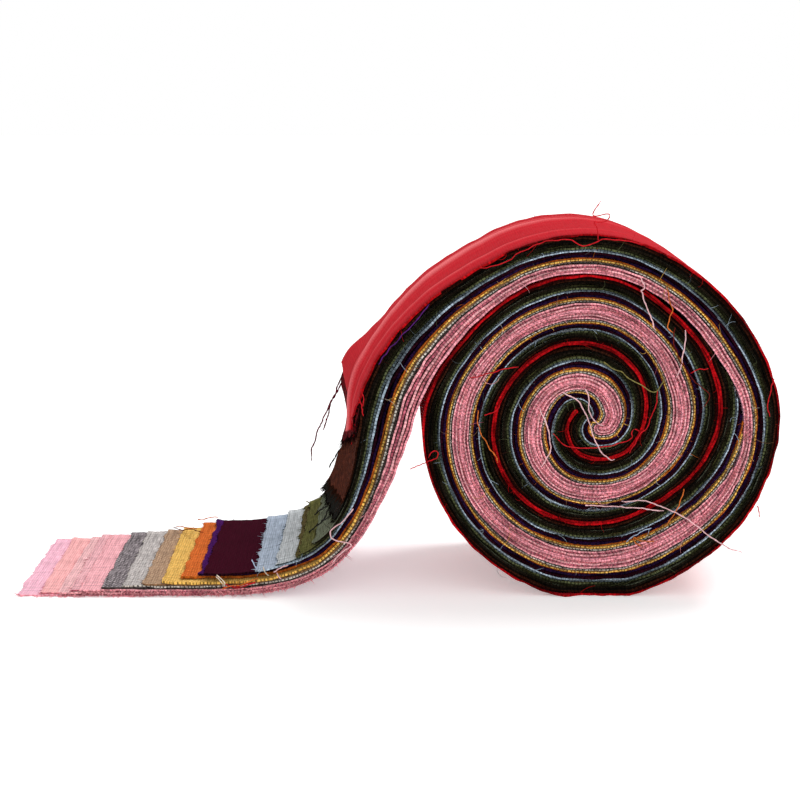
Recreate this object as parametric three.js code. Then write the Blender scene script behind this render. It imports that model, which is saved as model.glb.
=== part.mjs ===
// Twenty-one strips of quilting cotton, stacked from pink to red and rolled up together from the middle.
// The roll stands on its curved side, and the first ends of the strips run down from its crown
// to a flat tail on the surface, each strip shorter than the one below it.
// Neighbouring strips of like colour are one solid, wound as they lie.
// Millimetres, +Z up, +X to the right, front faces towards -Y.
// The origin is on the surface, under the middle of the roll's flat spot.
import * as THREE from 'three';

const STRIP_WIDTH = 63.5; // 2.5 inches
const AXIS_HEIGHT = 64.2; // centre of the roll above the surface
const GAP = 0.3; // between neighbouring solids
const INSET = GAP / 2; // each face is drawn in by half the gap
const FLOOR = -INSET; // so that the lowest faces come to rest at Z = 0
const ANGLE_STEP = 10; // degrees from one section of the winding to the next
const TABLE_STEP = 30; // degrees between the rows of WINDING
const SHORTEST_EDGE = 0.35; // tight folds leave out points nearer than this

// Angles of the winding, in degrees unwound from straight below the centre, by way of the right side
const CROWN = 930; // here the outer turn leaves the roll as the tail
const RED_FOLD = -100; // the red face folds on itself here, and the pink face at 0
const FIRST_END = 765; // from here on the inner halves of the strips end, one after another
const LAST_END = 880;

// Radii of the pink face and of the red face about the centre, as each turn passes the angle.
// The red face has one column more, for the part turn inside its first.
const WINDING = [
  { angle: 0, pink: [4.2, 27.1, 51.0], red: [null, 15.1, 37.7, 65.8] },
  { angle: 30, pink: [4.6, 26.7, 49.7], red: [null, 15.1, 36.2, 62.9] },
  { angle: 60, pink: [4.3, 26.5, 49.7], red: [null, 14.5, 37.8, 61.8] },
  { angle: 90, pink: [4.4, 26.8, 47.9], red: [null, 14.5, 39.8, 60.2] },
  { angle: 120, pink: [4.4, 27.1, 42.9], red: [null, 16.6, 40.2, 57.2] },
  { angle: 150, pink: [5.6, 30.3, 43.6], red: [null, 19.7, 41.6, 57.4] },
  { angle: 180, pink: [8.6, 35.0, 47.7], red: [null, 23.7, 47.2, 61.3] },
  { angle: 210, pink: [13.2, 38.4, 51.6], red: [null, 28.2, 50.4, 64.9] },
  { angle: 240, pink: [18.5, 42.5, 54.6], red: [7.4, 31.8, 53.4, 70.0] },
  { angle: 270, pink: [22.2, 47.0, 62.0], red: [10.1, 36.1, 60.2, 80.0] },
  { angle: 300, pink: [25.5, 50.1, null], red: [13.3, 38.6, 62.4, null] },
  { angle: 330, pink: [27.6, 51.2, null], red: [15.0, 39.0, 64.2, null] },
];

// Underside of the tail from the crown down to the tip, and how thick the whole stack is there
const TAIL = [
  { x: -36.9, z: 101.3, stack: 14.8 },
  { x: -46.9, z: 91.6, stack: 17.4 },
  { x: -55.6, z: 79.4, stack: 19.6 },
  { x: -60.9, z: 69.0, stack: 20.2 },
  { x: -64.6, z: 57.0, stack: 19.6 },
  { x: -68.6, z: 46.0, stack: 17.0 },
  { x: -72.9, z: 36.0, stack: 14.8 },
  { x: -78.5, z: 25.5, stack: 13.2 },
  { x: -85.0, z: 16.2, stack: 12.8 },
  { x: -93.0, z: 9.0, stack: 12.9 },
  { x: -103.0, z: 4.1, stack: 13.0 },
  { x: -113.5, z: 1.5, stack: 13.0 },
  { x: -124.0, z: 0.4, stack: 13.0 },
  { x: -136.0, z: FLOOR, stack: 13.0 },
  { x: -168.0, z: FLOOR, stack: 13.0 },
  { x: -201.0, z: FLOOR, stack: 13.0 },
];

// Each band lies between two shares of the stack, 0 at its pink face and 1 at its red face.
// tail: the X where each of its strips ends. roll: the angle where its other end lies.
// aside: how far the band sits behind (+) or before (-) the others along Y.
const BANDS = [
  { name: 'pink_strips', share: [0, 0.22], colour: 0xeb96a5, aside: 0.0,
    tail: [-200.2, -193.8, -188.1, -181.5, -176.5], roll: [764, 770, 776, 782, 788] },
  { name: 'grey_strips', share: [0.22, 0.33], colour: 0xa59a95, aside: 0.3,
    tail: [-169.7, -162.7, -155.5], roll: [794, 797, 800] },
  { name: 'gold_strips', share: [0.33, 0.435], colour: 0xebaa3c, aside: -0.2,
    tail: [-148.5, -142.9], roll: [803, 807] },
  { name: 'plum_strips', share: [0.435, 0.55], colour: 0x4b1040, aside: 0.4,
    tail: [-137.4, -134.3], roll: [811, 815] },
  { name: 'blue_strips', share: [0.55, 0.655], colour: 0xb4c4d6, aside: 0.0,
    tail: [-118.4, -110.8], roll: [818, 822] },
  { name: 'green_strips', share: [0.655, 0.79], colour: 0x75753f, aside: -0.3,
    tail: [-103.1, -100.7, -94.8], roll: [825, 829, 833] },
  { name: 'dark_strips', share: [0.79, 0.895], colour: 0x45181a, aside: 0.3,
    tail: [-90.5, -87.0, -85.5], roll: [836, 840, 848] },
  { name: 'red_strip', share: [0.895, 1], colour: 0xc8232d, aside: 0.0,
    tail: [-83.6], roll: [871] },
];

// Smooth curve through a row of values one table step apart
function throughRow(values, place) {
  const last = values.length - 1;
  const i = Math.min(Math.floor(place), last - 1);
  const [a, b, c, d] = [values[Math.max(i - 1, 0)], values[i], values[i + 1], values[Math.min(i + 2, last)]];
  const t = place - i;
  const bend = 2 * a - 5 * b + 4 * c - d + t * (3 * b - a - 3 * c + d);
  return b + 0.5 * t * (c - a + t * bend);
}

// One column after another of WINDING, as one list from the innermost turn outwards
function unroll(face) {
  const turns = WINDING[0][face].length;
  const list = [];
  for (let turn = 0; turn < turns; turn += 1) {
    for (const row of WINDING) list.push(row[face][turn]);
  }
  return list.filter((radius) => radius !== null);
}

const PINK_RADII = unroll('pink');
const RED_RADII = unroll('red');
const RED_TABLE_START = -120; // the first angle that the red column gives

// Point at an unwound angle and a radius about the centre, no lower than the surface
function around(angle, radius) {
  const turn = THREE.MathUtils.degToRad(angle);
  const x = Math.sin(turn) * radius;
  return new THREE.Vector2(x, Math.max(AXIS_HEIGHT - Math.cos(turn) * radius, FLOOR));
}

function pinkRadius(angle) {
  return throughRow(PINK_RADII, angle / TABLE_STEP);
}

function redRadius(angle) {
  return throughRow(RED_RADII, (angle - RED_TABLE_START) / TABLE_STEP);
}

const pinkPoint = (angle) => around(angle, pinkRadius(angle));
const redPoint = (angle) => around(angle, redRadius(angle));

// Sections of the whole stack, from the tip of the tail to the inner ends of the strips.
// Each is the line from its pink face to its red face.
function tailSections() {
  const start = pinkPoint(CROWN);
  const underside = [start, ...TAIL.map((row) => new THREE.Vector2(row.x, row.z))];
  const thickness = [redRadius(CROWN) - pinkRadius(CROWN), ...TAIL.map((row) => row.stack)];
  const curve = new THREE.SplineCurve(underside);
  const halves = 2 * TAIL.length;
  const sections = [];
  for (let i = 1; i <= halves; i += 1) {
    const along = i / halves;
    const pink = curve.getPoint(along);
    pink.y = Math.max(pink.y, FLOOR);
    const level = pink.y === FLOOR;
    const tangent = level ? new THREE.Vector2(-1, 0) : curve.getTangent(along);
    const row = Math.min(Math.floor(i / 2), TAIL.length - 1);
    const stack = THREE.MathUtils.lerp(thickness[row], thickness[row + 1], i / 2 - row);
    const outward = new THREE.Vector2(tangent.y, -tangent.x).multiplyScalar(stack);
    sections.push({ pink, red: pink.clone().add(outward) });
  }
  return sections.reverse();
}

function windingSections() {
  const sections = [];
  const add = (pink, red) => sections.push({ pink, red });
  for (let a = CROWN; a > 0; a -= ANGLE_STEP) add(pinkPoint(a), redPoint(a));
  for (let a = 0; a > RED_FOLD; a -= ANGLE_STEP) add(pinkPoint(0), redPoint(a));
  for (let a = 0; a < RED_FOLD + 360; a += ANGLE_STEP) add(pinkPoint(a), redPoint(RED_FOLD));
  return sections;
}

// Inner halves of the strips, which lie back to back with the outer halves of the turn inside them
function innerSections() {
  const held = pinkRadius(FIRST_END) - redRadius(FIRST_END - 360);
  const sections = [];
  for (let a = RED_FOLD + 360; a <= LAST_END; a += ANGLE_STEP) {
    const inner = redRadius(a - 360);
    const outer = a <= FIRST_END ? pinkRadius(a) : inner + held;
    sections.push({ pink: around(a, outer), red: around(a, inner) });
  }
  return sections;
}

const TAIL_PART = tailSections();
const INNER_PART = innerSections();
const SECTIONS = [...TAIL_PART, ...windingSections(), ...INNER_PART];
const INNER_START = SECTIONS.length - INNER_PART.length;

// Point on the section at a place along the winding, at a share of the stack, moved in by an inset
function layerPoint(place, share, inset) {
  const i = Math.min(Math.floor(place), SECTIONS.length - 2);
  const [here, next] = [SECTIONS[i], SECTIONS[i + 1]];
  const pink = here.pink.clone().lerp(next.pink, place - i);
  const red = here.red.clone().lerp(next.red, place - i);
  const across = red.clone().sub(pink);
  return pink.addScaledVector(across, share + inset / across.length());
}

// Place along the winding where a layer of the tail comes to an X, walked from the roll to the tip
function placeAtX(share, x) {
  for (let i = TAIL_PART.length - 1; i > 0; i -= 1) {
    const near = layerPoint(i, share, 0).x;
    const far = layerPoint(i - 1, share, 0).x;
    if (far <= x) return i - (near - x) / (near - far);
  }
  return 0;
}

const placeAtAngle = (angle) => INNER_START + (angle - RED_FOLD - 360) / ANGLE_STEP;

// The points of one face of a band, from one place to another
function facePoints(from, to, share, inset) {
  const points = [layerPoint(from, share, inset)];
  for (let i = Math.floor(from) + 1; i < to; i += 1) points.push(layerPoint(i, share, inset));
  points.push(layerPoint(to, share, inset));
  return points;
}

// Section of a band: its lower face, the steps of its inner ends, its upper face and the steps of its tail
function bandOutline(band) {
  const [low, high] = band.share;
  const strips = band.tail.length;
  const line = (k) => ({
    share: THREE.MathUtils.lerp(low, high, k / strips),
    inset: THREE.MathUtils.lerp(INSET, -INSET, k / strips),
  });
  const tail = band.tail.map((x, k) => placeAtX(line(k).share, x));
  const roll = band.roll.map(placeAtAngle);
  const last = strips - 1;
  const outline = facePoints(tail[0], roll[0], line(0).share, line(0).inset);
  for (let k = 1; k < strips; k += 1) {
    outline.push(...facePoints(roll[k - 1], roll[k], line(k).share, line(k).inset));
  }
  outline.push(...facePoints(tail[last], roll[last], line(strips).share, line(strips).inset).reverse());
  for (let k = last; k > 0; k -= 1) {
    outline.push(...facePoints(tail[k - 1], tail[k], line(k).share, line(k).inset).reverse());
  }
  const spaced = [];
  for (const point of outline) {
    const before = spaced[spaced.length - 1];
    if (!before || before.distanceTo(point) > SHORTEST_EDGE) spaced.push(point);
  }
  if (spaced[0].distanceTo(spaced[spaced.length - 1]) < SHORTEST_EDGE) spaced.pop();
  return spaced;
}

function bandMesh(band) {
  const shape = new THREE.Shape(bandOutline(band));
  const geometry = new THREE.ExtrudeGeometry(shape, { depth: STRIP_WIDTH, bevelEnabled: false });
  geometry.rotateX(Math.PI / 2);
  geometry.translate(0, STRIP_WIDTH / 2, 0);
  const material = new THREE.MeshStandardMaterial({ color: band.colour, roughness: 0.9, metalness: 0 });
  const mesh = new THREE.Mesh(geometry, material);
  mesh.name = band.name;
  mesh.position.set(0, band.aside, 0);
  return mesh;
}

const roll = new THREE.Group();
for (const band of BANDS) roll.add(bandMesh(band));

export default roll;
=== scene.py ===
"""Twenty-one strips of quilting cotton, stacked from pink to red and rolled up together from the middle.

The roll stands on its curved side, and the first ends of the strips run down from its crown to a flat
tail, each strip shorter than the one below it. Every strip is a closed sheet of its own, wound where
its band lies in the frame. Its cut edges fray, and loose threads hang from them.

The winding is worked out in millimetres in the X and Z of the frame. The meshes are in metres.
"""
import math
from collections import namedtuple

import bpy
import numpy as np
from bpy.props import FloatProperty, FloatVectorProperty, IntProperty, PointerProperty
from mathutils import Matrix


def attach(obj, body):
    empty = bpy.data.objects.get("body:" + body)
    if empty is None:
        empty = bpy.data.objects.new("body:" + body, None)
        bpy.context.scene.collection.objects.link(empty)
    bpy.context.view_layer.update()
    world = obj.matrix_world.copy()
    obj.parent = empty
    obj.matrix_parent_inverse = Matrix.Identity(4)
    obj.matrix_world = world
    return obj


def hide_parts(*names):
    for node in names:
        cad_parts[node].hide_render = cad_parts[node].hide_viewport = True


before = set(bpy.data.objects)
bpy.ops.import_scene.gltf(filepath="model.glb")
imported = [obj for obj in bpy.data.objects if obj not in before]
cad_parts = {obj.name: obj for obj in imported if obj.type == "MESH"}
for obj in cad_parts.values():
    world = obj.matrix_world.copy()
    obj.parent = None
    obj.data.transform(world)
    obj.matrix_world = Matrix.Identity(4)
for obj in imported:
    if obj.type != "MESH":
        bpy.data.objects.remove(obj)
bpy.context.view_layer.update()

bl_info = {
    "name": "Jelly roll of fabric strips",
    "version": (1, 0, 0),
    "blender": (4, 5, 0),
    "location": "View3D > Sidebar > Jelly roll",
    "description": "Winds a stack of cotton strips into a roll with a loose tail, with frayed edges",
    "category": "Object",
}

MM = 0.001
AXIS_HEIGHT = 64.2  # centre of the roll above the surface
FLOOR = 0.05  # lowest place of the stack's faces
CROWN = 930  # unwound degrees at which the outer turn leaves the roll as the tail
RED_FOLD = -100  # the red face folds on itself here, and the pink face at 0
RED_TABLE_START = -120
FIRST_END = 765  # from here on the inner halves of the strips end, one after another
LAST_END = 880
TABLE_STEP = 30
ANGLE_STEP = 2.5
TAIL_STEPS = 10  # sections between two rows of TAIL

# Radii of the pink face and of the red face as each turn passes the angle, from straight below by the right
Turn = namedtuple("Turn", "angle pink red")
WINDING = [
    Turn(0, (4.2, 27.1, 51.0), (None, 15.1, 37.7, 65.8)),
    Turn(30, (4.6, 26.7, 49.7), (None, 15.1, 36.2, 62.9)),
    Turn(60, (4.3, 26.5, 49.7), (None, 14.5, 37.8, 61.8)),
    Turn(90, (4.4, 26.8, 47.9), (None, 14.5, 39.8, 60.2)),
    Turn(120, (4.4, 27.1, 42.9), (None, 16.6, 40.2, 57.2)),
    Turn(150, (5.6, 30.3, 43.6), (None, 19.7, 41.6, 57.4)),
    Turn(180, (8.6, 35.0, 47.7), (None, 23.7, 47.2, 61.3)),
    Turn(210, (13.2, 38.4, 51.6), (None, 28.2, 50.4, 64.9)),
    Turn(240, (18.5, 42.5, 54.6), (7.4, 31.8, 53.4, 70.0)),
    Turn(270, (22.2, 47.0, 62.0), (10.1, 36.1, 60.2, 80.0)),
    Turn(300, (25.5, 50.1, None), (13.3, 38.6, 62.4, None)),
    Turn(330, (27.6, 51.2, None), (15.0, 39.0, 64.2, None)),
]

# Underside of the tail from the crown down to the tip, and how thick the whole stack is there
Slope = namedtuple("Slope", "x z stack")
TAIL = [
    Slope(-36.9, 101.3, 14.8),
    Slope(-46.9, 91.6, 17.4),
    Slope(-55.6, 79.4, 19.6),
    Slope(-60.9, 69.0, 20.2),
    Slope(-64.6, 57.0, 19.6),
    Slope(-68.6, 46.0, 17.0),
    Slope(-72.9, 36.0, 14.8),
    Slope(-78.5, 25.5, 13.2),
    Slope(-85.0, 16.2, 12.8),
    Slope(-93.0, 9.0, 12.9),
    Slope(-103.0, 4.1, 13.0),
    Slope(-113.5, 1.5, 13.0),
    Slope(-124.0, 0.4, 13.0),
    Slope(-136.0, FLOOR, 13.0),
    Slope(-168.0, FLOOR, 13.0),
    Slope(-201.0, FLOOR, 13.0),
]
WAIST_ROW = 4  # rows of the tail where the stack is loosest, and where it lies flat
FOOT_ROW = 10

# One row for each strip, from the pink face to the red face.
# roll, waist, foot: how much of the stack lies below its upper face in the roll, at the waist, at the foot.
# tip: X and Z of its end on the tail, at the front. skew: how much shorter it is at the back.
# end: unwound angle of its inner end. aside: its place along Y. ragged: how uneven its end on the tail is.
# colour, second and edge: of its lengthwise threads, its crosswise threads and its cut edges, linear. The
# cut edges' colour is their thread ends' colour, darkened on many strips with painted shade of the gaps
# between the layers.
# slub: how uneven its threads are. fluff: how many long fibres hang from it.
Strip = namedtuple(
    "Strip", "name band roll waist foot tip skew end aside ragged colour second edge slub fluff"
)
STRIPS = [
    Strip("magenta_pink", "pink", 0.047, 0.060, 0.038, (-200.2, 0.6), 0.6, 764, 0.0, 0.5,
          (0.93, 0.44, 0.58), (0.97, 0.60, 0.70), (0.92, 0.36, 0.42), 0.25, 0.6),
    Strip("salmon_pink", "pink", 0.094, 0.120, 0.076, (-193.8, 1.0), -0.5, 770, 0.3, 0.4,
          (0.95, 0.40, 0.41), (0.97, 0.54, 0.53), (0.70, 0.22, 0.26), 0.25, 0.6),
    Strip("pale_pink", "pink", 0.141, 0.180, 0.114, (-188.1, 1.6), 0.4, 776, -0.2, 0.4,
          (0.82, 0.43, 0.45), (0.88, 0.54, 0.55), (0.90, 0.42, 0.45), 0.35, 0.6),
    Strip("mauve_pink", "pink", 0.188, 0.240, 0.152, (-181.0, 2.0), -0.3, 782, 0.3, 0.4,
          (0.78, 0.38, 0.42), (0.86, 0.49, 0.52), (0.52, 0.13, 0.18), 0.35, 0.6),
    Strip("mid_pink", "pink", 0.235, 0.300, 0.190, (-178.0, 2.4), 0.3, 788, -0.3, 0.4,
          (0.88, 0.38, 0.43), (0.93, 0.51, 0.54), (0.95, 0.40, 0.44), 0.30, 1.0),
    Strip("dark_grey", "grey", 0.263, 0.337, 0.237, (-171.6, 3.0), 0.5, 794, 0.5, 0.5,
          (0.11, 0.090, 0.10), (0.34, 0.30, 0.31), (0.050, 0.038, 0.034), 1.0, 0.8),
    Strip("light_grey", "grey", 0.291, 0.373, 0.283, (-164.8, 3.6), -0.4, 797, 0.1, 0.5,
          (0.39, 0.35, 0.34), (0.60, 0.56, 0.54), (0.64, 0.59, 0.52), 0.55, 0.8),
    Strip("tan", "grey", 0.320, 0.410, 0.330, (-157.4, 4.2), 0.4, 800, 0.4, 0.5,
          (0.34, 0.20, 0.12), (0.50, 0.35, 0.24), (0.24, 0.13, 0.065), 0.40, 1.4),
    Strip("yellow", "gold", 0.355, 0.445, 0.415, (-150.9, 5.2), -0.5, 803, -0.4, 0.5,
          (0.70, 0.38, 0.075), (0.86, 0.56, 0.17), (0.86, 0.50, 0.11), 0.35, 1.2),
    Strip("orange", "gold", 0.390, 0.480, 0.500, (-143.4, 6.4), 0.6, 807, 2.8, 0.6,
          (0.60, 0.10, 0.020), (0.70, 0.19, 0.04), (0.46, 0.11, 0.014), 0.30, 1.4),
    Strip("indigo_purple", "plum", 0.465, 0.545, 0.560, (-138.2, 7.2), -0.4, 811, 2.0, 0.6,
          (0.045, 0.006, 0.075), (0.070, 0.010, 0.11), (0.016, 0.005, 0.030), 0.30, 0.8),
    Strip("dark_plum", "plum", 0.540, 0.610, 0.620, (-136.8, 8.0), 0.5, 815, 0.6, 0.6,
          (0.030, 0.001, 0.007), (0.048, 0.003, 0.012), (0.018, 0.002, 0.006), 0.30, 0.6),
    Strip("light_blue", "blue", 0.575, 0.660, 0.660, (-118.4, 9.3), -0.5, 818, -0.1, 0.7,
          (0.33, 0.40, 0.51), (0.48, 0.54, 0.63), (0.42, 0.52, 0.62), 0.35, 1.5),
    Strip("pale_blue_grey", "blue", 0.610, 0.710, 0.700, (-110.8, 11.4), 0.7, 822, 0.3, 0.7,
          (0.45, 0.48, 0.50), (0.62, 0.64, 0.65), (0.09, 0.12, 0.13), 0.40, 1.0),
    Strip("dark_olive", "green", 0.665, 0.750, 0.740, (-104.6, 13.2), -0.4, 825, -0.3, 0.8,
          (0.075, 0.056, 0.020), (0.15, 0.12, 0.046), (0.098, 0.112, 0.050), 0.60, 1.6),
    Strip("olive", "green", 0.725, 0.790, 0.780, (-102.6, 14.8), 0.8, 829, 0.2, 0.8,
          (0.085, 0.085, 0.024), (0.16, 0.155, 0.052), (0.014, 0.013, 0.006), 0.60, 1.6),
    Strip("sage", "green", 0.790, 0.830, 0.820, (-97.6, 17.4), 0.5, 833, -0.4, 1.0,
          (0.115, 0.13, 0.085), (0.20, 0.22, 0.15), (0.012, 0.008, 0.005), 0.50, 1.0),
    Strip("black_green", "dark", 0.840, 0.873, 0.865, (-93.5, 17.6), -8.5, 843, 0.4, 1.4,
          (0.006, 0.006, 0.005), (0.012, 0.012, 0.009), (0.006, 0.004, 0.003), 0.50, 1.2),
    Strip("rust_brown", "dark", 0.890, 0.917, 0.910, (-91.0, 19.5), -13.0, 850, 0.6, 1.5,
          (0.042, 0.008, 0.004), (0.11, 0.024, 0.010), (0.036, 0.010, 0.005), 1.1, 1.0),
    Strip("dark_maroon", "dark", 0.940, 0.960, 0.955, (-87.9, 39.0), -21.5, 860, 0.3, 2.0,
          (0.040, 0.002, 0.003), (0.17, 0.005, 0.010), (0.014, 0.002, 0.002), 1.1, 1.2),
    Strip("red", "red", 1.000, 1.000, 1.000, (-84.4, 53.7), 0.0, 879, 0.0, 0.8,
          (0.54, 0.010, 0.020), (0.58, 0.020, 0.030), (0.46, 0.004, 0.007), 0.30, 1.6),
]
# How much of its layer's room the cloth fills, and its least and greatest thickness
LOFT = {
    "pink": 0.82,
    "grey": 0.82,
    "gold": 0.84,
    "plum": 0.8,
    "blue": 0.84,
    "green": 0.8,
    "dark": 0.8,
    "red": 0.86,
}
THINNEST = 0.28
THICKEST = 0.72
# The cut edges: how plainly they show as beads with painted shade between them, and how far they fade in
# and out of painted shade along the strip
Rim = namedtuple("Rim", "beads breaks")
RIMS = {
    "magenta_pink": Rim(0.45, 0.15),
    "salmon_pink": Rim(0.6, 0.35),
    "pale_pink": Rim(0.5, 0.3),
    "mauve_pink": Rim(0.7, 0.4),
    "mid_pink": Rim(0.5, 0.2),
    "light_grey": Rim(1.0, 0.5),
    "tan": Rim(0.3, 0.5),
    "yellow": Rim(0.85, 0.45),
    "orange": Rim(0.3, 0.4),
    "light_blue": Rim(0.55, 0.75),
    "pale_blue_grey": Rim(0.9, 0.6),
    "dark_olive": Rim(0.85, 0.85),
    "red": Rim(0.3, 0.75),
}
OTHER_RIM = Rim(0.6, 0.4)
# How plainly the weave shows, 1 for the others
RELIEF = {"red": 0.35, "dark_plum": 0.45, "indigo_purple": 0.6}
# How far the back corner of a strip stands off the slope: its height, where along the strip, how long,
# and its height at the tip
Flare = namedtuple("Flare", "high place long tip")
FLARES = {
    "black_green": Flare(2.4, 9, 10, 0.2),
    "rust_brown": Flare(3.4, 14, 12, 0.4),
    "dark_maroon": Flare(7.6, 26, 14, 3.4),
    "red": Flare(7.4, 15, 12, 0.0),
}
NODES = {row.band: row.band + "_strips" for row in STRIPS}
NODES["red"] = "red_strip"

# How far from its tail end a strip's face is worked out finely, by how many columns, in rows of what length
Fine = namedtuple("Fine", "shown columns row")
FINE = Fine(46, 35, 1.0)
FINE_RED = Fine(440, 61, 1.3)
SEAM = 1.2  # between the last fine row and the first coarse one
COARSE_ROW = 1.4
COARSE_TURN = 4.0  # each radian that the layer turns counts as this much length in a coarse row
SELVAGE = 1.5  # from the cut edge to the next column
PAST_CROWN = 20  # sections of the roll in which a strip's tail end is still looked for
EDGE_ZONE = 3.0  # how far in from its cut edges a strip wanders
END_ZONE = 7.0  # how far back from its tail end a strip curls up
CUT_ZONE = 40.0  # how far back the rows follow the uneven cut of the tail end
TONGUE = 16.0  # how much further the middle of the red strip's tail end reaches than its corners
TONGUE_MIDDLE = -10.0
CURL_ZONE = 5.0  # how far in from its front edge the red strip turns down, and how deep
CURL_DROP = 0.7
PINK_HAIRS = 260
PINK_FLAT = 115  # length of a pink strip that lies on the flat of the tail
LOWEST = 0.12  # of fibres above the floor
END_RADIUS = (0.10, 0.20)  # least and greatest, at the root of a short thread end
FIBRE_RADIUS = 0.085  # at the root of a long fibre
FIBRE_POINTS = 6
SHARP_ABOVE = 50  # degrees between two faces
THREAD_ROWS = 56
THREAD_LOWEST = 0.3
THREAD_GIRTH = {"maroon": 1.5, "dark": 1.5, "pink": 1.15}

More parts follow.
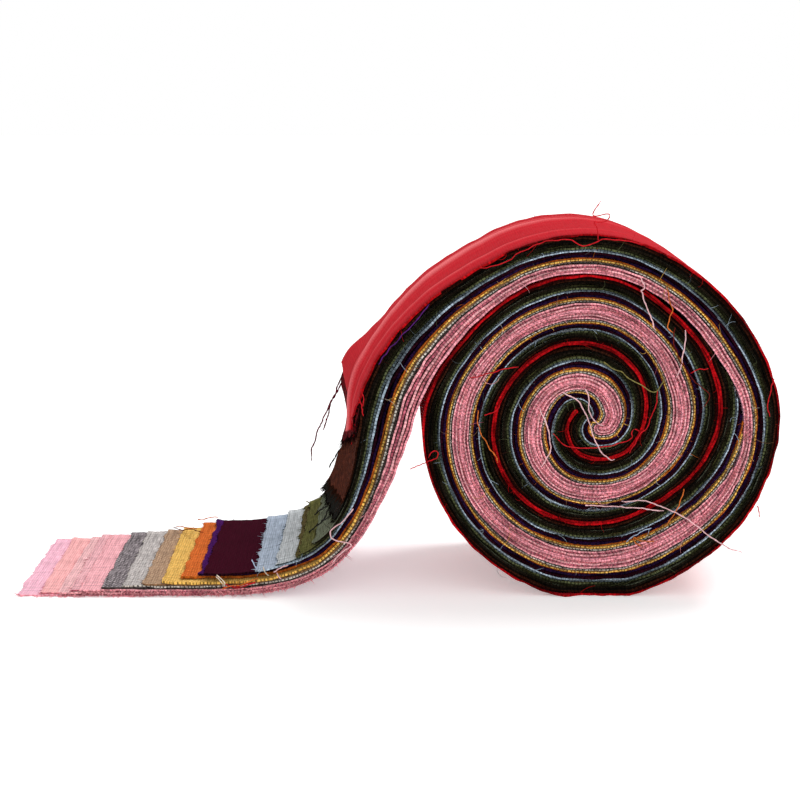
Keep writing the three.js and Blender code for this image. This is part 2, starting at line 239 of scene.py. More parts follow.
# Loose threads: what they are spun of, how far they stand out of the front, and their X and Z. A third
# number is Y, for threads that lie on the cloth or in a hollow of the roll.
Thread = namedtuple("Thread", "kind out points")
THREADS = [
    Thread("red", 0.6, ((-3, 123.5), (-3.5, 127), (-4.5, 129.5), (-0.5, 130), (0, 132), (-5, 132),
                        (-2.5, 136.5))),
    Thread("pink", 2.0, ((7.5, 34.5), (16.5, 34.5), (23, 32), (30, 28.5), (37, 23), (43, 19), (49.5, 16))),
    Thread("pink", 1.2, ((-5, 33), (10, 32.5), (22, 31))),
    Thread("pink", 1.8, ((-13.5, 72.5), (-9.5, 70.5), (-6.5, 67), (-4.5, 62), (-2, 55.5), (0.5, 51.5),
                         (3, 49), (4.5, 49.5))),
    Thread("pink", 1.4, ((-6, 73.5), (-5, 71), (-4.5, 66.5), (-2, 62), (0.5, 61))),
    Thread("pink", 1.0, ((-21, 67), (-19, 62), (-17.5, 57), (-17.5, 52), (-18.5, 49), (-20.5, 46.5))),
    Thread("pink", 1.0, ((11, 111.5), (12.5, 108.5), (11.5, 107), (12.5, 105.5), (13, 102.5), (15.5, 97),
                         (17, 93.5))),
    Thread("pink", 1.2, ((27, 93.5), (26.5, 88), (26, 83), (24.5, 77.5))),
    Thread("orange", 1.0, ((20, 108), (21.5, 103), (22, 100.5), (21, 97), (21, 94.5), (23, 93))),
    Thread("rust", 1.6, ((23.5, 94.5), (23, 89.5), (24, 86), (26.5, 82), (30, 76.5), (32.5, 75), (35.5, 72),
                         (35, 69.5), (33.5, 67))),
    Thread("red", 0.8, ((29.5, 79), (32, 80.5), (35, 80.5))),
    Thread("olive", 1.6, ((0, 82.5), (6.5, 79), (12.5, 75), (17, 73), (19.5, 75), (20, 78))),
    Thread("red", 1.2, ((18, 73), (18, 68.5), (16, 63), (12.5, 57), (9.5, 51.5))),
    Thread("red", 1.0, ((12.5, 59), (11, 60), (10, 58.5), (10, 56.5), (2.5, 54), (-10, 53.5), (-16.5, 58))),
    Thread("red", 1.0, ((-44.5, 77.5), (-39.5, 78.5), (-34, 80.5), (-28.5, 81))),
    Thread("red", 0.9, ((-39.5, 64.5), (-35.5, 66.5), (-34.5, 68))),
    Thread("orange", 1.0, ((-42, 66), (-41.5, 60.5), (-39, 55), (-36, 51), (-35, 48))),
    Thread("red", 0.8, ((-64.5, 45.5), (-59, 48.5), (-55.5, 50), (-55.5, 52), (-57.5, 51.5), (-58.5, 50))),
    Thread("pink", 1.4, ((-84, 31.5), (-86.5, 28.5), (-91, 25), (-92, 23), (-90.5, 21), (-85, 19.5),
                         (-86, 17.5), (-89.5, 15), (-91.5, 12))),
    Thread("pink", 0.6, ((-111.5, 9), (-109, 10.5), (-106.5, 11.5))),
    Thread("pink", 0.6, ((-110.5, 8.5), (-109, 6.5))),
    Thread("red", 0.8, ((-81.2, 73.9), (-80.7, 71.5), (-80.6, 67.5))),
    Thread("red", 0.8, ((-81.6, 70.5), (-81.1, 67.2), (-80.6, 64.4))),
    Thread("red", 1.2, ((-129.1, 3.6), (-126.3, 4.0), (-123.2, 4.5), (-119.7, 5.1), (-117.6, 5.6))),
    Thread("red", 1.6, ((-128.3, 4.6), (-125.6, 3.7), (-122.1, 4.2), (-118.0, 5.3))),
    Thread("orange", 1.4, ((-129.1, 3.1), (-125.9, 4.6), (-122.1, 4.7), (-119.0, 6.4), (-116.9, 6.9))),
    Thread("cream", 1.0, ((-131.4, 7.2), (-130.4, 6.5), (-129.4, 5.4), (-128.5, 4.0))),
    Thread("cream", 1.3, ((-131.0, 7.6), (-129.7, 6.9), (-128.7, 5.8), (-129.0, 4.0))),
    Thread("cream", 0.8, ((-115.0, 11.0), (-114.5, 9.5), (-113.5, 7.7))),
    Thread("blue", 0.6, ((-118.8, 13.4), (-118.5, 12.0), (-117.6, 10.2))),
    Thread("rust", 0.0, ((-154.7, 5.2, 31.5), (-151.2, 6.2, 26.0), (-148.4, 7.4, 22.0), (-144.4, 8.6, 17.0),
                         (-141.0, 8.8, 13.9))),
    Thread("orange", 0.0, ((-153.5, 5.6, 31.5), (-151.5, 6.8, 27.8), (-148.2, 7.6, 23.3),
                           (-143.6, 9.0, 17.0))),
    Thread("orange", 0.0, ((-145.6, 8.0, 32.5), (-142.5, 8.8, 32.3), (-139.5, 9.2, 31.5),
                           (-137.2, 9.4, 31.0))),
    Thread("dark", 0.0, ((-100.5, 16.4, -10.0), (-97.7, 20.0, -15.7), (-95.4, 23.4, -18.0),
                         (-93.0, 27.0, -16.3))),
    Thread("dark", 0.0, ((-99.1, 18.2, 6.0), (-97.0, 21.2, 0.8), (-94.0, 25.6, -8.1))),
    Thread("dark", 0.0, ((-95.4, 23.2, -18.0), (-94.2, 25.0, -22.0), (-92.4, 28.2, -30.5))),
    Thread("dark", 0.0, ((26.0, 94.9, 27.0), (28.1, 97.0, 28.0), (27.6, 93.9, 29.0), (29.7, 95.9, 27.0),
                         (29.2, 92.8, 28.0), (31.3, 94.9, 29.0), (30.8, 91.8, 27.0), (32.9, 93.9, 28.0),
                         (32.4, 90.8, 29.0))),
    Thread("dark", 0.0, ((26.8, 96.6, 28.0), (29.2, 94.8, 28.2), (30.5, 93.6, 28.6), (32.2, 92.3, 28.4))),
    Thread("purple", 1.0, ((-58.5, 102), (-64.5, 95), (-71.5, 87.5), (-75.5, 82))),
    Thread("red", 1.0, ((-42, 114.5), (-35.5, 115.5), (-27, 120.5), (-21, 123), (-13.5, 124), (-10, 122.5),
                        (-6, 122), (-1, 124), (8.5, 123), (17, 121))),
    Thread("orange", 1.0, ((28.5, 38.5), (26.5, 31.5), (24.5, 28.5), (22.5, 25.5))),
    Thread("orange", 0.9, ((19, 20), (13.5, 21), (12, 21.5), (12.5, 19.5), (15, 18.5))),
    Thread("blue", 0.9, ((10, 20), (11.5, 22), (18, 25))),
    Thread("red", 0.7, ((54, 32.5), (55, 29))),
    Thread("red", 0.8, ((57.5, 77), (55.5, 70), (56.5, 64))),
]
# Threads that hang from the back corners of the ends on the slope
BACK_THREADS = [
    Thread("maroon", 0.2, ((-86.5, 70.5), (-89.2, 66.2), (-92.0, 58.4), (-95.1, 52.1), (-97.4, 46.7),
                           (-99.1, 43.2), (-101.0, 36.4), (-101.8, 31.9))),
    Thread("maroon", 0.1, ((-89.5, 62.5), (-91.8, 58.4), (-94.0, 53.9), (-95.4, 48.1), (-96.9, 43.6))),
    Thread("dark", 0.0, ((-90.4, 37.0), (-92.4, 33.0), (-93.1, 32.1), (-94.6, 28.9))),
    Thread("olive", 0.1, ((-103.7, 15.6), (-102.6, 14.8), (-101.6, 13.2), (-102.6, 11.6), (-103.9, 12.0))),
]
# Colour of each kind of thread, linear, and the material slot of the band that it comes from
THREAD_COLOURS = {
    "pink": ((0.88, 0.50, 0.52), "pink_cotton"),
    "red": ((0.50, 0.012, 0.018), "red_cotton"),
    "maroon": ((0.13, 0.008, 0.02), "dark_cotton"),
    "cream": ((0.70, 0.60, 0.48), "grey_cotton"),
    "orange": ((0.60, 0.15, 0.03), "gold_cotton"),
    "rust": ((0.12, 0.012, 0.008), "dark_cotton"),
    "olive": ((0.22, 0.19, 0.06), "green_cotton"),
    "dark": ((0.02, 0.02, 0.018), "dark_cotton"),
    "purple": ((0.08, 0.015, 0.14), "plum_cotton"),
    "blue": ((0.42, 0.52, 0.68), "blue_cotton"),
}

# The stage
Lamp = namedtuple("Lamp", "name turn strength spread")
LAMPS = (
    Lamp("top light", (-16, 24, 0), 1.35, 22),
    Lamp("front light", (50, 24, 0), 0.35, 60),
)
SKY_LIGHT = 0.72  # how strongly the white surroundings light the roll
SKY_SEEN = 1.0  # and how bright they look
FLOOR_GLOW = 0.35  # added to the floor where the camera sees it
CAMERA_SHIFT = 0.0125


# The winding

def through_row(values, place):
    """Smooth curve through values one step apart: each span's slope at a value joins its two neighbours."""
    values = np.asarray(values, float)
    place = np.asarray(place, float)
    last = len(values) - 1
    i = np.clip(np.floor(place).astype(int), 0, last - 1)
    a = values[np.maximum(i - 1, 0)]
    b = values[i]
    c = values[i + 1]
    d = values[np.minimum(i + 2, last)]
    t = place - i
    bend = 2 * a - 5 * b + 4 * c - d + t * (3 * b - a - 3 * c + d)
    return b + 0.5 * t * (c - a + t * bend)


def unroll(face):
    """One column after another of WINDING, as one list from the innermost turn outwards."""
    turns = zip(*(getattr(row, face) for row in WINDING))
    return [radius for turn in turns for radius in turn if radius is not None]


PINK_RADII = unroll("pink")
RED_RADII = unroll("red")


def around(angle, radius):
    """Point at an unwound angle and a radius about the roll's centre, no lower than the floor."""
    turn = np.radians(angle)
    z = AXIS_HEIGHT - np.cos(turn) * radius
    return np.stack([np.sin(turn) * radius, np.maximum(z, FLOOR)], -1)


def pink_radius(angle):
    """Radius of the pink face at an unwound angle."""
    return through_row(PINK_RADII, np.asarray(angle) / TABLE_STEP)


def red_radius(angle):
    """Radius of the red face at an unwound angle."""
    return through_row(RED_RADII, (np.asarray(angle) - RED_TABLE_START) / TABLE_STEP)


def tail_sections():
    """Lines across the stack from the tip up to the crown: the underside is a smooth curve through TAIL,
    and the red face stands on it at right angles, as far off as the stack is thick."""
    start = around(CROWN, pink_radius(CROWN))
    rows = len(TAIL)
    place = np.arange(1, rows * TAIL_STEPS + 1) / TAIL_STEPS
    x = through_row([start[0]] + [row.x for row in TAIL], place)
    z = np.maximum(through_row([start[1]] + [row.z for row in TAIL], place), FLOOR)
    first = red_radius(CROWN) - pink_radius(CROWN)
    stack = through_row([first] + [row.stack for row in TAIL], place)
    along = np.stack([np.gradient(x), np.gradient(z)], -1)
    along /= np.linalg.norm(along, axis=1, keepdims=True)
    pink = np.stack([x, z], -1)
    outward = np.stack([along[:, 1], -along[:, 0]], -1) * stack[:, None]
    return pink[::-1], (pink + outward)[::-1], place[::-1]


def winding_sections():
    """Lines across the stack: down the outer turns to the centre, then round the pink core and round the
    red core."""
    outer = np.arange(CROWN, 0, -ANGLE_STEP)
    fold = np.arange(0, RED_FOLD, -ANGLE_STEP)
    core = np.arange(0, RED_FOLD + 360, ANGLE_STEP)
    pink_fold = around(0, pink_radius(0))
    red_fold = around(RED_FOLD, red_radius(RED_FOLD))
    pink = [
        around(outer, pink_radius(outer)),
        np.repeat(pink_fold[None], len(fold), 0),
        around(core, pink_radius(core)),
    ]
    red = [
        around(outer, red_radius(outer)),
        around(fold, red_radius(fold)),
        np.repeat(red_fold[None], len(core), 0),
    ]
    return np.concatenate(pink), np.concatenate(red)


def inner_sections():
    """Lines across the inner halves of the strips, back to back with the outer halves one turn in.
    Past FIRST_END, where the strips end, the stack keeps its thickness on the turn that it lies on."""
    angle = np.arange(RED_FOLD + 360, LAST_END + ANGLE_STEP, ANGLE_STEP)
    held = pink_radius(FIRST_END) - red_radius(FIRST_END - 360)
    inner = red_radius(angle - 360)
    outer = np.where(angle <= FIRST_END, pink_radius(angle), inner + held)
    return around(angle, outer), around(angle, inner)


TAIL_PINK, TAIL_RED, TAIL_PLACE = tail_sections()
WOUND_PINK, WOUND_RED = winding_sections()
INNER_PINK, INNER_RED = inner_sections()
PINK = np.concatenate([TAIL_PINK, WOUND_PINK, INNER_PINK])
RED = np.concatenate([TAIL_RED, WOUND_RED, INNER_RED])
INNER_START = len(TAIL_PINK) + len(WOUND_PINK)
ROW = np.concatenate([TAIL_PLACE, np.zeros(len(PINK) - len(TAIL_PLACE))])  # row of TAIL, 0 in the roll


def bell(value, middle, wide):
    """Bell curve of height 1: e to the minus square of the distance from its middle over its width."""
    return np.exp(-((value - middle) / wide) ** 2)


def wander(place, chance, wavelength):
    """Soft noise of about unit size: four sine waves of near lengths and chance phases, added up."""
    length = wavelength * chance.uniform(0.6, 1.7, 4)
    phase = chance.uniform(0, 2 * np.pi, 4)
    waves = np.sin(np.asarray(place)[..., None] * 2 * np.pi / length + phase)
    return waves.sum(-1) / 2


def share_at(row, above):
    """Share of the stack at each section: the roll's at the crown, easing to the waist's and the foot's."""
    stations = [0, WAIST_ROW - 1, WAIST_ROW + 1, FOOT_ROW]
    return np.interp(row, stations, [above.roll, above.waist, above.waist, above.foot])


class Route:
    """Where one strip lies: the middle line of its layer, as a polyline with its length, slope and pitch."""

    def __init__(self, number):
        strip = STRIPS[number]
        below = STRIPS[number - 1] if number else strip._replace(roll=0.0, waist=0.0, foot=0.0)
        low = share_at(ROW, below)
        high = share_at(ROW, strip)
        across = RED - PINK
        wide = np.linalg.norm(across, axis=1)
        middle = (low + high) / 2
        last = INNER_START + int(round((strip.end - RED_FOLD - 360) / ANGLE_STEP))
        line = (PINK + across * middle[:, None])[: last + 1]
        pitch = ((high - low) * wide)[: last + 1]
        near = np.hypot(line[:, 0] - strip.tip[0], line[:, 1] - strip.tip[1])
        first = int(np.argmin(near[: len(TAIL_PINK) + PAST_CROWN]))
        line = line[first:]
        self.pitch_at = pitch[first:]
        step = np.hypot(*np.diff(line, axis=0).T)
        keep = np.concatenate([[True], step > 1e-4])
        line = line[keep]
        self.pitch_at = self.pitch_at[keep]
        self.place = np.concatenate([[0], np.cumsum(np.hypot(*np.diff(line, axis=0).T))])
        self.line = line
        slope = np.gradient(line, self.place, axis=0)
        slope /= np.linalg.norm(slope, axis=1, keepdims=True)
        self.slope = slope
        self.length = self.place[-1]
        self.strip = strip

    def at(self, place):
        """Points, slopes and pitch of the layer at any lengths along it."""
        x = np.interp(place, self.place, self.line[:, 0])
        z = np.interp(place, self.place, self.line[:, 1])
        slope_x = np.interp(place, self.place, self.slope[:, 0])
        slope_z = np.interp(place, self.place, self.slope[:, 1])
        pitch = np.interp(place, self.place, self.pitch_at)
        scale = np.maximum(np.hypot(slope_x, slope_z), 1e-6)
        return x, z, slope_x / scale, slope_z / scale, pitch

    def steps(self, start, step, turn_step):
        """Lengths from start to the end, closer together where the layer turns tightly."""
        heading = np.unwrap(np.arctan2(self.slope[:, 1], self.slope[:, 0]))
        turned = np.concatenate([[0], np.cumsum(np.abs(np.diff(heading)))])
        effort = self.place + turn_step * turned
        first = np.interp(start, self.place, effort)
        count = int((effort[-1] - first) / step) + 1
        return np.interp(np.linspace(first, effort[-1], count), effort, self.place)


# Meshes

def add_piece(name, points, faces, material, uv=None):
    """A mesh object at the origin, from points in millimetres and lists of faces with equal corner counts.
    uv is one length and one width for each point, in millimetres."""
    mesh = bpy.data.meshes.new(name)
    corners = np.concatenate([group.ravel() for group in faces]).astype(np.int32)
    sizes = np.concatenate([np.full(len(group), group.shape[1]) for group in faces])
    starts = np.concatenate([[0], np.cumsum(sizes)[:-1]]).astype(np.int32)
    mesh.vertices.add(len(points))
    mesh.vertices.foreach_set("co", (points * MM).astype(np.float32).ravel())
    mesh.loops.add(len(corners))
    mesh.loops.foreach_set("vertex_index", corners)
    mesh.polygons.add(len(sizes))
    mesh.polygons.foreach_set("loop_start", starts)
    mesh.update(calc_edges=True)
    mesh.shade_smooth()
    if uv is not None:
        layer = mesh.uv_layers.new(name="Cloth")
        layer.uv.foreach_set("vector", (uv[corners] * MM).astype(np.float32).ravel())
    mesh.set_sharp_from_angle(angle=math.radians(SHARP_ABOVE))
    mesh.validate()
    mesh.materials.append(material)
    piece = bpy.data.objects.new(name, mesh)
    bpy.context.scene.collection.objects.link(piece)
    return piece


def rings(rows, ring, start):
    """Quads between each row of points and the next, closed round the ring."""
    index = start + np.arange(rows * ring).reshape(rows, ring)
    after = np.roll(index, -1, axis=1)
    return np.stack([index[:-1], index[1:], after[1:], after[:-1]], -1).reshape(-1, 4)


def cap(ring, start, turned):
    """Quads that close the end of a flat sleeve, from its upper side to its lower side."""
    upper = np.arange(ring // 2 - 1)
    quads = np.stack([upper, upper + 1, ring - 2 - upper, ring - 1 - upper], -1) + start
    return quads[:, ::-1] if turned else quads


def joint(fine, coarse, map_ring, fine_start, coarse_start):
    """Faces from a row of many points to a row of few. Each has one edge of the few and all of the many."""
    faces = []
    for k in range(coarse):
        low = map_ring[k]
        high = map_ring[(k + 1) % coarse] if k + 1 < coarse else fine
        many = fine_start + np.arange(high, low - 1, -1) % fine
        few = coarse_start + np.array([k, (k + 1) % coarse])
        faces.append(np.concatenate([many[-1:], few, many[:-1]])[None])
    return faces


def red_folds(place, side):
    """Lengthwise folds of the red strip: how high they stand, and the painted highlight on their ridges and
    the painted shade in their hollows. Each is a bell curve across it. The main one runs from the back half
    of the crown to the front half of the tip, with a hollow behind it, and all fade away along the outer
    turn."""
    main = 8 - 18 * bell(place, 0, 38) + 0.8 * np.sin(place / 13)
    front = 1.2 * np.sin(place / 24)
    rim = 1.2 * np.sin(place / 19)
    crown = bell(place, 62, 70)
    tip = bell(place, 0, 34)
    folds = (
        (main, 2.3, 1.9 * crown + 0.8 * tip, 1.2),
        (main + 5.0, 2.6, -0.15 * crown - 0.1 * tip, -1.1),
        (main + 10.5, 2.4, 0.8 * crown, 0.8),
        (main + 14.5, 1.8, -0.1 * crown, -0.6),
        (main - 6.5, 3.0, 0.5 * crown, 0.25),
        (front - 15.0, 1.8, -0.1 * crown, -0.5),
        (rim - 20.5, 2.4, 0.8 * crown, 0.6),
    )
    high = 0.15 * crown + 0.5 * tip
    fold_light_and_shade = 0
    for middle, wide, height, shade in folds:
        fold = bell(side, middle, wide)
        high = high + height * fold
        fold_light_and_shade = fold_light_and_shade + shade * fold * np.maximum(crown, tip)
    return high, fold_light_and_shade


def edge_curl(place, side, half):
    """How far the red strip's front edge turns down over the strips under it, from 0 to 1: the square of
    the nearness to the edge, times a bell curve along the crown."""
    near = np.clip((-side - half + CURL_ZONE) / CURL_ZONE, 0, 1)
    return near ** 2 * bell(place, 60, 80)


def stand_off(flare, place, side, half):
    """How far a ragged end stands off the slope: a bell curve along the strip and half a one at its tip,
    both growing from the front edge to the back one."""
    loose = flare.high * bell(place, flare.place, flare.long)
    loose = loose + flare.tip * bell(place, 0, 12)
    return loose * (0.04 + 0.96 * ((side / half + 1) / 2) ** 1.8)


def half_width(sizes):
    """Half the width of the strips, in millimetres."""
    return sizes.strip_width / MM / 2


def lay_points(route, place, side, face, sizes, noise):
    """Points on one face of a strip: its layer's line, moved half the cloth's thickness along the layer's
    normal, with its edges wandering a little across and out of the layer."""
    half = half_width(sizes)
    x, z, slope_x, slope_z, pitch = route.at(place)
    thick = np.clip(pitch * LOFT[route.strip.band], THINNEST, THICKEST)
    edge = np.clip((np.abs(side) - half + EDGE_ZONE) / EDGE_ZONE, 0, 1) ** 2
    sway = np.where(side < 0, noise["front"](place), noise["back"](place))
    lift = 0.13 * pitch * noise["lift"](place) * (0.4 + 0.6 * edge)
    if route.strip.name in FLARES:
        lift = lift + stand_off(FLARES[route.strip.name], place, side, half)
    tip = np.clip(1 - place / END_ZONE, 0, 1) ** 2
    lift = lift + tip * (0.25 + 0.35 * noise["tip"](side))
    if route.strip.name == "red":
        lift = lift + red_folds(place, side)[0] - CURL_DROP * edge_curl(place, side, half)
    off = face * thick / 2 + lift
    y = side + edge * sway + route.strip.aside * (0.25 + 0.75 * bell(place, 0, 45))
    return np.stack([x - slope_z * off, y, z + slope_x * off], -1)


def strip_noise(chance):
    """How one strip wanders: its two edges across, its layer's lift along it, and its tip's lift across it.
    Along slow stretches an edge is also sunk towards the middle."""
    seeds = {}
    for key in ("front", "back", "lift", "tip"):
        seeds[key] = np.random.default_rng(chance.integers(1 << 30)).integers(1 << 30)

    def edge_noise(key, inward):
        def value(place):
            draw = np.random.default_rng(seeds[key])
            sunk = inward * 0.8 * np.maximum(wander(place, draw, 62), 0)
            return sunk + 0.34 * wander(place, draw, 17) + 0.2 * wander(place, draw, 4.3)
        return value

    def plain_noise(key, wavelength):
        return lambda place: wander(place, np.random.default_rng(seeds[key]), wavelength)

    return {
        "front": edge_noise("front", 1),
        "back": edge_noise("back", -1),
        "lift": plain_noise("lift", 11),
        "tip": plain_noise("tip", 24),
    }


def tail_cut(strip, across, half, chance):
    """How far the tail end of a strip lies back from its foremost point, for each place across it: a slant
    and some soft noise, and for the red strip a tongue whose sides run almost straight."""
    uneven = wander(across, chance, 12) * 0.55 + wander(across, chance, 5.5) * 0.16
    cut = strip.skew * (across / half + 1) / 2 + strip.ragged * uneven
    if strip.name == "red":
        middle = across - TONGUE_MIDDLE
        reach = np.where(middle < 0, half + TONGUE_MIDDLE, half - TONGUE_MIDDLE)
        cut = cut + TONGUE * np.abs(middle / reach) ** 1.05
    return cut - cut.min()


def wind_strip(number, sizes, chance):
    """One strip as a closed sleeve: rows of points round it, many across it where its face shows."""
    chance.uniform()  # one value is passed over before each strip's own ones
    route = Route(number)
    strip = route.strip
    half = half_width(sizes)
    noise = strip_noise(chance)
    red = strip.name == "red"
    grid = FINE_RED if red else FINE
    columns = np.linspace(-half + SELVAGE, half - SELVAGE, grid.columns)
    many = np.concatenate([[-half], columns, [half]])
    few = many[[0, 1, -2, -1]]
    rows = np.arange(0, grid.shown + 0.1, grid.row)
    cut = tail_cut(strip, many, half, chance)
    fade = np.clip(1 - rows / CUT_ZONE, 0, 1)[:, None]
    fine_place = np.maximum(rows[:, None] + fade * cut, 0)
    coarse_place = route.steps(grid.shown + SEAM, COARSE_ROW, COARSE_TURN)

    def sleeve(place, side):
        upper = lay_points(route, place, side, 1, sizes, noise)
        lower = lay_points(route, place, side, -1, sizes, noise)
        points = np.concatenate([upper, lower[:, ::-1]], 1)
        across = np.broadcast_to(side, place.shape)
        along_ring = np.concatenate([place, place[:, ::-1]], 1)
        across_ring = np.concatenate([across, across[:, ::-1]], 1)
        return points, np.stack([along_ring, across_ring], -1)

    fine_points, fine_uv = sleeve(fine_place, many)
    coarse_points, coarse_uv = sleeve(np.repeat(coarse_place[:, None], 4, 1), few)
    fine = fine_points.shape[1]
    coarse = coarse_points.shape[1]
    split = fine_points.shape[0] * fine
    total = split + coarse_points.shape[0] * coarse
    wide = len(many)
    ring_map = [0, 1, wide - 2, wide - 1, wide, wide + 1, 2 * wide - 2, 2 * wide - 1]
    faces = [
        rings(fine_points.shape[0], fine, 0),
        rings(coarse_points.shape[0], coarse, split),
        cap(fine, 0, False),
        cap(coarse, total - coarse, True),
    ]
    faces += joint(fine, coarse, ring_map, split - fine, split)
    points = np.concatenate([fine_points.reshape(-1, 3), coarse_points.reshape(-1, 3)])
    uv = np.concatenate([fine_uv.reshape(-1, 2), coarse_uv.reshape(-1, 2)])
    piece = add_piece(strip.name + "_cloth", points, faces, cotton(strip, sizes), uv)
    if red:
        # painted light and shade of the red strip, kept as a point attribute for its material: lighter on
        # the fold ridges, darker in the hollows
        place = uv[:, 0]
        # the turned-down front edge is painted darker as well, as shade
        fold_light_and_shade = red_folds(place, uv[:, 1])[1] - 1.3 * edge_curl(place, uv[:, 1], half)
        layer = piece.data.attributes.new("painted_fold_shading", "FLOAT", "POINT")
        layer.data.foreach_set("value", fold_light_and_shade.astype(np.float32))
    return piece, route, (many, cut), noise


def cones(base, tip, radius, chance):
    """Thin three-sided cones: three points about each base, in the plane across its axis, and its tip."""
    axis = tip - base
    axis /= np.maximum(np.linalg.norm(axis, axis=1, keepdims=True), 1e-9)
    helper = chance.normal(size=base.shape)
    first = np.cross(axis, helper)
    first /= np.maximum(np.linalg.norm(first, axis=1, keepdims=True), 1e-9)
    second = np.cross(axis, first)
    turns = np.arange(3) * 2 * np.pi / 3
    ring = first[:, None] * np.cos(turns)[:, None] + second[:, None] * np.sin(turns)[:, None]
    points = np.concatenate([base[:, None] + ring * radius[:, None, None], tip[:, None]], 1)
    pattern = np.array([[0, 1, 3], [1, 2, 3], [2, 0, 3], [2, 1, 0]])
    faces = (np.arange(len(base)) * 4)[:, None, None] + pattern
    return points.reshape(-1, 3), faces.reshape(-1, 3)


def tubes(lines, radius, sides, reference):
    """Round tubes of one radius at each point along lines with equal point counts: a ring about each point,
    in the plane across the line, and both ends closed."""
    count, length, _ = lines.shape
    slope = np.gradient(lines, axis=1)
    slope /= np.maximum(np.linalg.norm(slope, axis=2, keepdims=True), 1e-9)
    first = np.cross(slope, reference)
    first /= np.maximum(np.linalg.norm(first, axis=2, keepdims=True), 1e-9)
    second = np.cross(slope, first)
    turns = np.arange(sides) * 2 * np.pi / sides
    ring = first[:, :, None] * np.cos(turns)[:, None] + second[:, :, None] * np.sin(turns)[:, None]
    points = lines[:, :, None] + ring * radius[:, :, None, None]
    quads = rings(length, sides, 0)[:, ::-1]
    bottom = np.arange(sides)[None]
    top = (length - 1) * sides + np.arange(sides)[None, ::-1]
    start = (np.arange(count) * length * sides)[:, None, None]
    faces = [
        (start + quads).reshape(-1, 4),
        (start + bottom).reshape(-1, sides),
        (start + top).reshape(-1, sides),
    ]
    return points.reshape(-1, 3), faces


def aim(route, place, forward, aside, rise):
    """Directions made of so much along the strip, so much along Y and so much along the layer's normal."""
    slope_x, slope_z = route.at(place)[2:4]
    aside = np.broadcast_to(aside, place.shape)
    return np.stack([slope_x * forward - slope_z * rise, aside, slope_z * forward + slope_x * rise], -1)


def fray_gap(sizes):
    """From one frayed thread end to the next, in millimetres."""
    return sizes.thread_pitch / MM / sizes.fray_density


def edge_fringe(route, edge, sizes, noise, chance):
    """Short thread ends all along one cut edge, which lean a little along it and out of the layer."""
    half = half_width(sizes)
    gap = fray_gap(sizes)
    count = int(route.length / gap)
    place = (np.arange(count) + chance.uniform(0, 1, count)) * gap
    place = np.clip(place, 0, route.length)
    layer = chance.uniform(-0.8, 0.8, count)
    base = lay_points(route, place, np.full(count, edge * half), layer, sizes, noise)
    base[:, 1] -= edge * 0.12
    lean = chance.normal(0, 0.35, count)
    rise = chance.normal(0, 0.22, count)
    size = np.minimum(0.18 + chance.exponential(0.26, count), 1.5) * sizes.fray_length / (0.5 * MM)
    return base, aim(route, place, lean, edge, rise) * size[:, None]


def tail_fringe(route, ends, sizes, noise, chance):
    """Thread ends across the strip's end on the tail, more and longer ones on the dark ragged strips."""
    strip = route.strip
    half = half_width(sizes)
    dark = strip.band == "dark"
    count = int(2 * half / fray_gap(sizes) * (5 if dark else 2))
    side = chance.uniform(-half, half, count)
    place = np.interp(side, *ends) + 0.15
    base = lay_points(route, place, side, chance.uniform(-0.8, 0.8, count), sizes, noise)
    size = (0.25 + chance.exponential(0.35, count)) * (0.6 + 0.7 * strip.ragged)
    size = np.minimum(size * (2.2 if dark else 1.0), 6)
    drop = np.minimum(chance.normal(0.0, 0.25, count), 0.3)
    aside = chance.normal(0, 0.25, count)
    return base, aim(route, place, -1, aside, drop) * size[:, None]


def inner_fringe(route, sizes, noise, chance):
    """Thread ends across the strip's end inside the roll."""
    half = half_width(sizes)
    count = int(2 * half / fray_gap(sizes) * (2.5 if route.strip.band in ("dark", "red") else 1.2))
    side = chance.uniform(-half, half, count)
    place = np.full(count, route.length - 0.15)
    base = lay_points(route, place, side, chance.uniform(-0.8, 0.8, count), sizes, noise)
    drop = chance.normal(0.12, 0.3, count)
    size = np.minimum(0.6 + chance.exponential(1.1, count), 5)
    aside = chance.normal(0, 0.4, count)
    return base, aim(route, place, 1, aside, drop) * size[:, None]


def pink_fringe(route, sizes, noise, chance):
    """Longer fibres that hang from the front edge of a pink strip, along the flat of the tail."""
    count = PINK_HAIRS
    edge = np.full(count, -half_width(sizes))
    place = chance.uniform(0, PINK_FLAT, count)
    base = lay_points(route, place, edge, chance.uniform(-0.8, 0.8, count), sizes, noise)
    lean = chance.normal(0, 0.7, count)
    size = np.minimum(0.5 + chance.exponential(0.7, count), 3.2)
    out = np.stack([lean, np.full(count, -1.0), -0.35 - 0.3 * np.abs(lean)], -1)
    return base, out * size[:, None]


